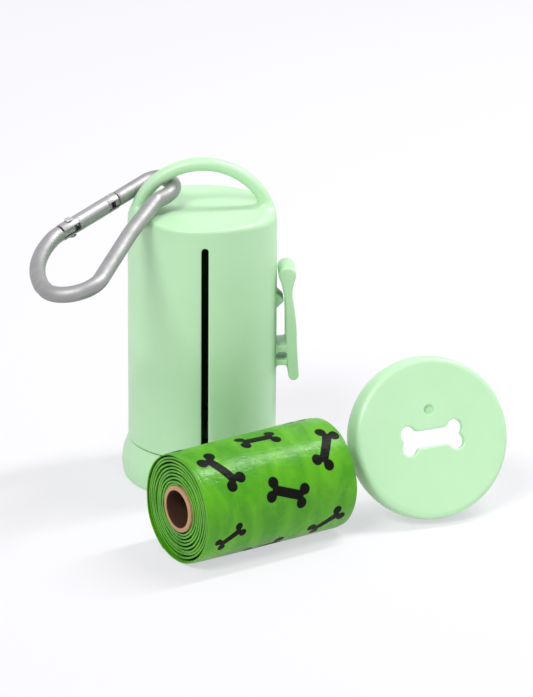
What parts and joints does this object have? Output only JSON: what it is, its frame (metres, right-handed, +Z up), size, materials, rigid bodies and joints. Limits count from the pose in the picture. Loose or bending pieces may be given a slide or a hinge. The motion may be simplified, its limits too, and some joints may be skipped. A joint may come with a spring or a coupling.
{
  "type": "waste bag dispenser",
  "caption": "Cylindrical waste-bag dispenser with arch handle, dispensing slot, used-bag clip and snap hook, a roll of bags and a second screw base cap beside it.",
  "frame": {"origin": "centre of the dispenser's underside, on the surface everything stands on", "axes": "+Z up along the dispenser's axis; -Y is the side with the slot; +X is the side with the used-bag clip"},
  "size_m": [0.126, 0.097, 0.0897],
  "materials": {
    "mint_plastic": "satin",
    "hook_metal": "satin",
    "pin_metal": "bright",
    "bag_film": "satin",
    "core_card": "matte"
  },
  "bodies": {
    "dispenser": {"housing": "mint_plastic", "clip_webs": "mint_plastic"},
    "fitted_cap": {"base_cap": "mint_plastic"},
    "clip_lever": {"bag_clip": "mint_plastic"},
    "hook": {"hook_bar": "hook_metal", "gate_rivet": "pin_metal"},
    "gate": {"hook_gate": "hook_metal", "latch_pin": "pin_metal", "gate_plunger": "pin_metal", "gate_spring": "pin_metal"},
    "roll": {"roll_core": "core_card", "wound_bags": "bag_film"},
    "second_cap": {"loose_cap": "mint_plastic"}
  },
  "joints": [
    {"name": "cap_off", "type": "slide", "parent": "dispenser", "child": "fitted_cap", "axis": [0, 0, -1], "range_m": [0, 0.02]},
    {"name": "clip_press", "type": "hinge", "parent": "dispenser", "child": "clip_lever", "pos_m": [0.0212, 0, 0.035], "axis": [0, 1, 0], "range_deg": [0, 12], "stiffness_Nm_per_rad": 0.09, "deforming": ["clip_webs"]},
    {"name": "hook_swing", "type": "hinge", "parent": "dispenser", "child": "hook", "pos_m": [-0.01499, 0.00058, 0.08009], "axis": [-0.5878, 0, -0.809], "range_deg": [0, 40]},
    {"name": "gate_open", "type": "hinge", "parent": "hook", "child": "gate", "pos_m": [-0.03532, -0.01135, 0.07433], "axis": [0.1982, 0.131, -0.9714], "range_deg": [0, 25], "stiffness_Nm_per_rad": 0.06, "springref_deg": -28.65, "deforming": ["gate_spring"]},
    {"name": "roll_lift", "type": "slide", "parent": "dispenser", "child": "roll", "axis": [0, 0, 1], "range_m": [0, 0.1]},
    {"name": "second_cap_lift", "type": "slide", "parent": "dispenser", "child": "second_cap", "axis": [0, 0, 1], "range_m": [0, 0.08]}
  ]
}
